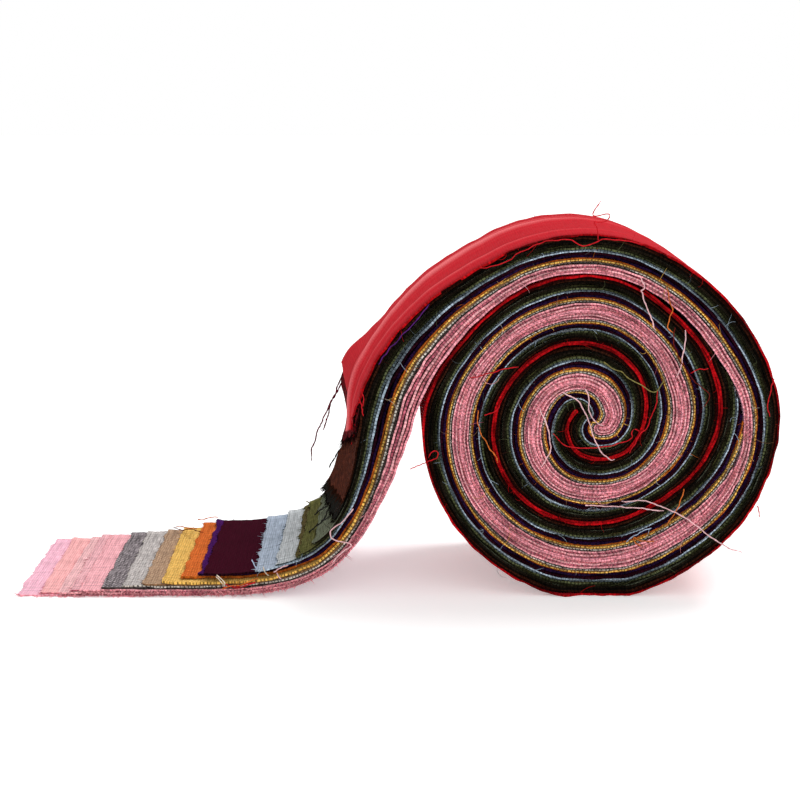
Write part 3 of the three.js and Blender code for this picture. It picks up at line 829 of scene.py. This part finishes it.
def long_fibres(route, sizes, noise, chance):
    """Curled fibres from both edges: each line keeps turning at one rate in the plane of its layer's slope
    and normal, and stands out from the edge by half a sine wave and a ramp."""
    count = int(sizes.hairs * route.strip.fluff)
    place = chance.uniform(0, route.length, count)
    edge = np.where(chance.uniform(0, 1, count) < 0.6, -1, 1)
    side = edge * half_width(sizes)
    start = lay_points(route, place, side, chance.uniform(-0.5, 0.5, count), sizes, noise)
    slope_x, slope_z = route.at(place)[2:4]
    size = np.minimum(1.2 + chance.exponential(1.6, count), 7) * sizes.hair_length / (2.5 * MM)
    heading = chance.uniform(-1.4, 1.4, count) + np.where(chance.uniform(0, 1, count) < 0.5, np.pi, 0)
    curl = chance.normal(0, 1.3, count)
    t = np.linspace(0, 1, FIBRE_POINTS)
    turn = heading[:, None] + curl[:, None] * t
    step = size[:, None] / (FIBRE_POINTS - 1)
    run = np.cumsum(np.cos(turn) * step, 1) - np.cos(turn[:, :1]) * step
    rise = np.cumsum(np.sin(turn) * step, 1) - np.sin(turn[:, :1]) * step
    stand = edge[:, None] * (np.sin(np.pi * t) * 0.5 + 0.5 * t) * np.minimum(size[:, None] * 0.4, 1.3)
    lines = np.stack([
        start[:, 0, None] + slope_x[:, None] * run - slope_z[:, None] * rise,
        start[:, 1, None] + stand,
        start[:, 2, None] + slope_z[:, None] * run + slope_x[:, None] * rise,
    ], -1)
    lines[..., 2] = np.maximum(lines[..., 2], LOWEST)
    thin = np.repeat((FIBRE_RADIUS * (1 - 0.6 * t))[None], count, 0)
    return tubes(lines, thin, 3, np.array([0.21, 0.93, 0.31]))


def fray_strip(route, ends, sizes, noise, chance):
    """The frayed edges of one strip: short thread ends all along its edges and across both its ends, and a
    few long curled fibres."""
    strip = route.strip
    fringes = [edge_fringe(route, edge, sizes, noise, chance) for edge in (-1, 1)]
    fringes.append(tail_fringe(route, ends, sizes, noise, chance))
    fringes.append(inner_fringe(route, sizes, noise, chance))
    if strip.band == "pink":
        fringes.append(pink_fringe(route, sizes, noise, chance))
    base = np.concatenate([fringe[0] for fringe in fringes])
    tip = base + np.concatenate([fringe[1] for fringe in fringes])
    tip[:, 2] = np.maximum(tip[:, 2], LOWEST)
    points, faces = cones(base, tip, chance.uniform(*END_RADIUS, len(base)), chance)
    more_points, more_faces = long_fibres(route, sizes, noise, chance)
    all_faces = [faces] + [group + len(points) for group in more_faces]
    # the frayed ends take the cut edge's colour, with the painted shade that it carries on many strips
    dark = tuple(np.array(strip.edge) * 0.75)
    light = tuple(np.array(strip.edge) * 1.15)
    material = fibre(strip.name, dark, light)
    return add_piece(strip.name + "_fray", np.concatenate([points, more_points]), all_faces, material)


def spin_thread(thread, edge, sizes, chance):
    """A loose thread: a smooth curve through its listed points, its ends tucked into the edges,
    standing out in between, with small kinks along it."""
    points = np.array(thread.points, float)
    place = np.linspace(0, len(points) - 1, THREAD_ROWS)
    x = through_row(points[:, 0], place)
    z = through_row(points[:, 1], place)
    length = np.concatenate([[0], np.cumsum(np.hypot(np.diff(x), np.diff(z)))])
    t = length / length[-1]
    x += 0.06 * wander(length, chance, 2.6) + 0.2 * wander(length, chance, 8)
    z += 0.06 * wander(length, chance, 2.6) + 0.2 * wander(length, chance, 8)
    half = half_width(sizes)
    out = thread.out * np.sin(np.pi * np.clip(t * 0.93, 0, 1)) ** 0.6
    out = out + 0.25 * np.abs(wander(length, chance, 9))
    y = through_row(points[:, 2], place) if points.shape[1] == 3 else edge * (half + out)
    radius = sizes.thread_thickness / MM / 2 * (1 + 0.18 * wander(length, chance, 1.9))
    radius = radius * THREAD_GIRTH.get(thread.kind, 1)
    radius = radius * np.where(t > 0.96, 0.6, 1)
    line = np.stack([x, y, np.maximum(z, THREAD_LOWEST)], -1)[None]
    return tubes(line, radius[None], 6, np.array([0.02, 1.0, 0.03]))


# Materials

class Shader:
    """Short way to add nodes to a tree: each input is a number, a colour or another node's output."""

    def __init__(self, tree):
        self.tree = tree

    def add(self, kind, inputs=(), **settings):
        made = self.tree.nodes.new(kind)
        for key, value in settings.items():
            setattr(made, key, value)
        for key, value in dict(inputs).items():
            if isinstance(value, bpy.types.NodeSocket):
                self.tree.links.new(value, made.inputs[key])
            else:
                made.inputs[key].default_value = value
        return made

    def math(self, operation, *values):
        return self.add("ShaderNodeMath", enumerate(values), operation=operation).outputs[0]

    def between(self, value, low, high, out_low, out_high):
        made = self.add("ShaderNodeMapRange", {"Value": value, "From Min": low, "From Max": high,
                                               "To Min": out_low, "To Max": out_high},
                        interpolation_type="SMOOTHSTEP")
        return made.outputs["Result"]

    def mix(self, factor, first, second):
        made = self.add("ShaderNodeMix", {0: factor, 6: first, 7: second}, data_type="RGBA")
        return made.outputs[2]

    def plus(self, first, second):
        return self.math("ADD", first, second)

    def minus(self, first, second):
        return self.math("SUBTRACT", first, second)

    def times(self, first, second):
        return self.math("MULTIPLY", first, second)

    def humps(self, value):
        """From 0 at each whole number to 1 half way between: the size of a sine wave."""
        return self.math("ABSOLUTE", self.math("SINE", self.times(value, math.pi)))

    def noise(self, vector, scale, detail):
        made = self.add("ShaderNodeTexNoise", {"Vector": vector, "Scale": scale, "Detail": detail})
        return made.outputs[0]

    def stretched(self, vector, scale):
        return self.add("ShaderNodeMapping", {0: vector, 3: scale}, vector_type="POINT").outputs[0]

    def chance(self, value):
        return self.add("ShaderNodeTexWhiteNoise", {"W": value}, noise_dimensions="1D").outputs[0]

    def scale_colour(self, colour, factor):
        made = self.add("ShaderNodeVectorMath", {0: colour, "Scale": factor}, operation="SCALE")
        return made.outputs[0]


def new_group(name, inputs, outputs):
    """An empty shader node group with named inputs, each with its default, and named outputs."""
    group = bpy.data.node_groups.new(name, "ShaderNodeTree")
    for label, kind, default in inputs:
        made = group.interface.new_socket(label, in_out="INPUT", socket_type=kind)
        made.default_value = default
    for label, kind in outputs:
        group.interface.new_socket(label, in_out="OUTPUT", socket_type=kind)
    return group


def woven_group():
    """Plain weave: each crossing of a lengthwise and a crosswise thread is one bump, and the two take turns
    on top, with painted shade in the hollows between the bumps. Threads differ from each other, thicken here
    and there, and end as beads at the edge, with painted shade between the beads and where the edge fades.
    The red strip's folds get a painted highlight and painted shade."""
    group = bpy.data.node_groups.get("Woven cotton")
    if group:
        return group
    group = new_group("Woven cotton", [
        ("Lengthwise", "NodeSocketColor", (0.8, 0.8, 0.8, 1)),
        ("Crosswise", "NodeSocketColor", (0.9, 0.9, 0.9, 1)),
        ("Slub", "NodeSocketFloat", 0.3),
        ("Pitch", "NodeSocketFloat", 0.0008),
        ("Cut edge", "NodeSocketColor", (0.5, 0.5, 0.5, 1)),
        ("Half width", "NodeSocketFloat", 0.03175),
        ("Relief", "NodeSocketFloat", 1.0),
        ("Beads", "NodeSocketFloat", 0.6),
        ("Breaks", "NodeSocketFloat", 0.4),
    ], [("Colour", "NodeSocketColor"), ("Height", "NodeSocketFloat")])
    s = Shader(group)
    given = s.add("NodeGroupInput").outputs
    cloth = s.add("ShaderNodeUVMap", uv_map="Cloth").outputs[0]
    length, width, _ = s.add("ShaderNodeSeparateXYZ", {0: cloth}).outputs

    # The threads: which one lies on top, and how each differs from the others
    along = s.math("DIVIDE", length, given["Pitch"])
    across = s.math("DIVIDE", width, given["Pitch"])
    along_cell = s.math("FLOOR", along)
    across_cell = s.math("FLOOR", across)
    bump = s.times(s.humps(along), s.humps(across))
    turn = s.math("MODULO", s.plus(s.plus(along_cell, across_cell), 8000.0), 2.0)
    along_chance = s.chance(along_cell)
    across_chance = s.chance(s.plus(across_cell, 511.3))
    long_noise = s.noise(s.stretched(cloth, (130.0, 1500.0, 1.0)), 1.0, 2.0)
    cross_noise = s.noise(s.stretched(cloth, (1500.0, 150.0, 1.0)), 1.0, 2.0)
    on_top = s.between(s.plus(s.times(turn, 0.5), s.times(cross_noise, 0.6)), 0.2, 0.95, 0.0, 1.0)
    base = s.mix(on_top, given["Lengthwise"], given["Crosswise"])

    # The shade: painted shade in the hollows between the bumps, uneven tone of the slubs, single threads and
    # broad patches, and the painted highlight and shade of the folds
    uneven = s.times(s.minus(s.plus(long_noise, cross_noise), 1.0), given["Slub"])
    thread = s.times(s.minus(s.plus(along_chance, across_chance), 1.0), 0.13)
    broad = s.noise(cloth, 55.0, 3.0)
    shade = s.plus(s.between(bump, 0.0, 0.75, 0.72, 1.06), s.plus(s.times(uneven, 2.2), thread))
    shade = s.plus(shade, s.times(s.minus(broad, 0.5), 0.22))
    shade = s.plus(s.times(s.minus(shade, 0.95), given["Relief"]), 0.95)
    # painted highlight and shade from the red strip's fold attribute: lighter ridges tinted towards pale
    # pink, darker hollows and a darker turned-down front edge
    fold_light_and_shade = s.add("ShaderNodeAttribute", attribute_name="painted_fold_shading").outputs["Fac"]
    shade = s.math("MAXIMUM", s.plus(shade, s.times(fold_light_and_shade, 0.42)), 0.05)
    base = s.mix(s.between(fold_light_and_shade, 0.1, 1.1, 0.0, 0.15), base, (1.0, 0.8, 0.8, 1))

    # The cut edge: beads of crosswise thread ends with painted shade between them, which fade into painted
    # shade here and there
    edge = s.minus(s.math("ABSOLUTE", width), given["Half width"])
    edge = s.between(edge, -0.00055, -0.00005, 0.0, 1.0)
    stretch = s.noise(cloth, 240.0, 2.0)
    knot = s.humps(s.plus(s.times(along, 0.64), s.times(stretch, 2.6)))
    gap = s.times(s.between(knot, 0.2, 0.75, 0.94, 0.0), given["Beads"])
    drift = s.noise(cloth, 34.0, 3.0)
    sunk_shade = s.times(s.between(drift, 0.36, 0.6, 1.0, 0.0), given["Breaks"])
    bead = s.times(s.minus(1.0, gap), s.minus(1.0, sunk_shade))
    bead = s.times(bead, s.between(along_chance, 0.0, 1.0, 0.85, 1.6))

    # the cut edge's colour carries painted shade of the gaps between the layers on many strips
    colour = s.mix(edge, s.scale_colour(base, shade), s.scale_colour(given["Cut edge"], bead))
    height = s.times(s.plus(bump, s.times(uneven, 0.8)), given["Relief"])
    out = s.add("NodeGroupOutput")
    group.links.new(colour, out.inputs["Colour"])
    group.links.new(height, out.inputs["Height"])
    return group


def fibre_group():
    """Loose fibre: its colour drifts between two shades over a millimetre or so, and in broad patches."""
    group = bpy.data.node_groups.get("Loose fibre")
    if group:
        return group
    group = new_group("Loose fibre", [
        ("Dark", "NodeSocketColor", (0.5, 0.5, 0.5, 1)),
        ("Light", "NodeSocketColor", (0.9, 0.9, 0.9, 1)),
    ], [("Colour", "NodeSocketColor")])
    s = Shader(group)
    given = s.add("NodeGroupInput").outputs
    place = s.add("ShaderNodeTexCoord").outputs["Object"]
    fine = s.noise(place, 1300.0, 1.0)
    broad = s.noise(place, 120.0, 2.0)
    colour = s.mix(s.between(fine, 0.35, 0.65, 0.0, 1.0), given["Dark"], given["Light"])
    out = s.add("NodeGroupOutput")
    group.links.new(s.scale_colour(colour, s.between(broad, 0.3, 0.7, 0.8, 1.12)), out.inputs["Colour"])
    return group


def new_material(name, group, inputs, rough, sheen, gloss):
    """A matte cloth shader fed by a node group, with one roughness and a faint sheen of its own colour."""
    material = bpy.data.materials.new(name)
    material.use_nodes = True
    material.node_tree.nodes.clear()
    s = Shader(material.node_tree)
    pattern = s.add("ShaderNodeGroup", node_tree=group)
    for key, value in inputs.items():
        pattern.inputs[key].default_value = value
    surface = s.add("ShaderNodeBsdfPrincipled", {
        "Base Color": pattern.outputs["Colour"],
        "Roughness": rough,
        "Sheen Weight": 0.12,
        "Sheen Roughness": 0.5,
        "Sheen Tint": (*sheen, 1),
        "Specular IOR Level": gloss,
    })
    if "Height" in pattern.outputs:
        height = pattern.outputs["Height"]
        bump = s.add("ShaderNodeBump", {"Strength": 0.7, "Distance": 0.00018, "Height": height})
        material.node_tree.links.new(bump.outputs[0], surface.inputs["Normal"])
    out = s.add("ShaderNodeOutputMaterial")
    material.node_tree.links.new(surface.outputs[0], out.inputs[0])
    return material


def cotton(strip, sizes):
    """The woven cotton of one strip, the red one with a little more gloss."""
    colours = bpy.context.scene.jelly_roll_colours
    satin = strip.name == "red"
    rim = RIMS.get(strip.name, OTHER_RIM)
    return new_material(strip.name + " cotton", woven_group(), {
        "Lengthwise": (*getattr(colours, strip.name), 1),
        "Crosswise": (*strip.second, 1),
        "Slub": strip.slub,
        "Pitch": sizes.thread_pitch,
        "Cut edge": (*strip.edge, 1),
        "Half width": sizes.strip_width / 2,
        "Relief": RELIEF.get(strip.name, 1.0),
        "Beads": rim.beads,
        "Breaks": rim.breaks,
    }, 0.8 if satin else 1.0, strip.second, 0.04 if satin else 0.03)


def fibre(name, dark, light):
    """Loose threads and frayed ends of one colour."""
    colours = {"Dark": (*dark, 1), "Light": (*light, 1)}
    return new_material(name + " fibre", fibre_group(), colours, 0.95, light, 0.05)


# Sizes and colours that a user would change

class JellyRollSizes(bpy.types.PropertyGroup):
    """Sizes of the strips, their frayed edges, and the view."""

    strip_width: FloatProperty(
        name="Strip width", description="Width that the strips are cut to", default=0.0635, unit="LENGTH")
    thread_pitch: FloatProperty(
        name="Thread pitch", description="From one thread of the weave to the next", default=0.0008,
        unit="LENGTH")
    fray_density: FloatProperty(
        name="Fray density", description="Frayed ends for each thread of the weave", default=0.55)
    fray_length: FloatProperty(
        name="Fray length", description="Usual length of a frayed thread end", default=0.0005, unit="LENGTH")
    hairs: IntProperty(
        name="Long fibres", description="Long curled fibres on each strip", default=55)
    hair_length: FloatProperty(
        name="Fibre length", description="Usual length of a curled fibre", default=0.0025, unit="LENGTH")
    thread_thickness: FloatProperty(
        name="Thread thickness", description="Thickness of a loose thread", default=0.00036, unit="LENGTH")
    seed: IntProperty(name="Seed", description="Start of the chance values", default=21)
    lens: FloatProperty(
        name="Lens", description="Focal length on a 36 mm sensor", default=69.857,
        subtype="DISTANCE_CAMERA")
    tilt: FloatProperty(
        name="Tilt", description="How far the camera looks down", default=math.radians(12.6),
        subtype="ANGLE")
    camera_place: FloatVectorProperty(
        name="Camera place", description="Where the camera stands", default=(-0.07148, -0.5414, 0.18363),
        subtype="TRANSLATION", unit="LENGTH")
    floor_size: FloatProperty(name="Floor", description="Width of the floor", default=6.0, unit="LENGTH")


class JellyRollColours(bpy.types.PropertyGroup):
    """Colour of the lengthwise threads of each strip."""

    __annotations__ = {
        strip.name: FloatVectorProperty(
            name=strip.name.replace("_", " ").capitalize(),
            description="Colour of the " + strip.name.replace("_", " ") + " strip's lengthwise threads",
            subtype="COLOR", size=3, min=0, max=1, default=strip.colour)
        for strip in STRIPS
    }


# Operators

def ride(piece):
    """Fix a piece to the roll's one body."""
    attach(piece, "root")


class JELLYROLL_OT_strips(bpy.types.Operator):
    """Wind the twenty-one strips, from the pink one to the red one, and fray their edges"""

    bl_idname = "jellyroll.strips"
    bl_label = "Wind the strips"

    def execute(self, context):
        sizes = context.scene.jelly_roll_sizes
        chance = np.random.default_rng(sizes.seed)
        replaced = set()
        for number, strip in enumerate(STRIPS):
            piece, route, ends, noise = wind_strip(number, sizes, chance)
            fray = fray_strip(route, ends, sizes, noise, chance)
            ride(piece)
            ride(fray)
            node = NODES[strip.band]
            if node not in replaced:
                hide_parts(node)
                replaced.add(node)
        return {"FINISHED"}


class JELLYROLL_OT_threads(bpy.types.Operator):
    """Hang the loose threads on the front of the roll and on the ragged ends"""

    bl_idname = "jellyroll.threads"
    bl_label = "Hang the loose threads"

    def execute(self, context):
        sizes = context.scene.jelly_roll_sizes
        chance = np.random.default_rng(sizes.seed + 1)
        hung = [(thread, -1) for thread in THREADS] + [(thread, 1) for thread in BACK_THREADS]
        for kind, (colour, slot) in THREAD_COLOURS.items():
            points = []
            faces = []
            count = 0
            for thread, edge in hung:
                if thread.kind != kind:
                    continue
                more, groups = spin_thread(thread, edge, sizes, chance)
                points.append(more)
                faces += [group + count for group in groups]
                count += len(more)
            light = tuple(min(1.0, value * 1.3) for value in colour)
            material = fibre(kind + " thread", colour, light)
            piece = add_piece(kind + "_threads", np.concatenate(points), faces, material)
            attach(piece, "root")
        return {"FINISHED"}


class JELLYROLL_OT_stage(bpy.types.Operator):
    """Set the pale floor, the soft lights and the camera"""

    bl_idname = "jellyroll.stage"
    bl_label = "Set the stage"

    def execute(self, context):
        sizes = context.scene.jelly_roll_sizes
        scene = context.scene
        half = sizes.floor_size / 2
        corners = [(-half, -half, 0), (half, -half, 0), (half, half, 0), (-half, half, 0)]
        mesh = bpy.data.meshes.new("floor")
        mesh.from_pydata(corners, [], [(0, 1, 2, 3)])
        paper = bpy.data.materials.new("pale floor")
        paper.use_nodes = True
        surface = paper.node_tree.nodes["Principled BSDF"]
        surface.inputs["Base Color"].default_value = (0.9, 0.9, 0.9, 1)
        surface.inputs["Roughness"].default_value = 0.9
        seen = paper.node_tree.nodes.new("ShaderNodeLightPath").outputs["Is Camera Ray"]
        glow = paper.node_tree.nodes.new("ShaderNodeMath")
        glow.operation = "MULTIPLY"
        glow.inputs[1].default_value = FLOOR_GLOW
        paper.node_tree.links.new(seen, glow.inputs[0])
        paper.node_tree.links.new(glow.outputs[0], surface.inputs["Emission Strength"])
        surface.inputs["Emission Color"].default_value = (1, 1, 1, 1)
        mesh.materials.append(paper)
        floor = bpy.data.objects.new("floor", mesh)
        scene.collection.objects.link(floor)

        world = scene.world or bpy.data.worlds.new("studio")
        scene.world = world
        world.use_nodes = True
        sky = world.node_tree.nodes["Background"]
        sky.inputs["Color"].default_value = (1, 1, 1, 1)
        seen = world.node_tree.nodes.new("ShaderNodeLightPath").outputs["Is Camera Ray"]
        level = world.node_tree.nodes.new("ShaderNodeMapRange")
        level.inputs["To Min"].default_value = SKY_LIGHT
        level.inputs["To Max"].default_value = SKY_SEEN
        world.node_tree.links.new(seen, level.inputs["Value"])
        world.node_tree.links.new(level.outputs["Result"], sky.inputs["Strength"])
        for row in LAMPS:
            lamp = bpy.data.lights.new(row.name, "SUN")
            lamp.energy = row.strength
            lamp.angle = math.radians(row.spread)
            light = bpy.data.objects.new(row.name, lamp)
            scene.collection.objects.link(light)
            light.rotation_euler = [math.radians(angle) for angle in row.turn]

        camera = bpy.data.cameras.new("camera")
        camera.lens = sizes.lens
        camera.sensor_width = 36
        camera.sensor_fit = "HORIZONTAL"
        camera.shift_x = CAMERA_SHIFT
        camera.clip_start = 0.01
        camera.clip_end = 20
        stand = bpy.data.objects.new("camera", camera)
        stand.location = sizes.camera_place
        stand.rotation_euler = (math.pi / 2 - sizes.tilt, 0, 0)
        scene.collection.objects.link(stand)
        scene.camera = stand
        scene.view_settings.view_transform = "Standard"
        return {"FINISHED"}


class JELLYROLL_PT_panel(bpy.types.Panel):
    """Steps that make the roll, in order, and its sizes and colours"""

    bl_label = "Jelly roll"
    bl_idname = "JELLYROLL_PT_panel"
    bl_space_type = "VIEW_3D"
    bl_region_type = "UI"
    bl_category = "Jelly roll"

    def draw(self, context):
        for step in STEPS:
            self.layout.operator(step.bl_idname)
        for group in (context.scene.jelly_roll_sizes, context.scene.jelly_roll_colours):
            box = self.layout.box()
            for key in type(group).__annotations__:
                box.prop(group, key)


STEPS = (JELLYROLL_OT_strips, JELLYROLL_OT_threads, JELLYROLL_OT_stage)
CLASSES = (JellyRollSizes, JellyRollColours, *STEPS, JELLYROLL_PT_panel)


def register():
    for made in CLASSES:
        bpy.utils.register_class(made)
    bpy.types.Scene.jelly_roll_sizes = PointerProperty(type=JellyRollSizes)
    bpy.types.Scene.jelly_roll_colours = PointerProperty(type=JellyRollColours)


def unregister():
    del bpy.types.Scene.jelly_roll_colours
    del bpy.types.Scene.jelly_roll_sizes
    for made in reversed(CLASSES):
        bpy.utils.unregister_class(made)


def main():
    register()
    bpy.ops.jellyroll.strips()
    bpy.ops.jellyroll.threads()
    bpy.ops.jellyroll.stage()
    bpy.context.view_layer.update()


if __name__ == "__main__":
    main()
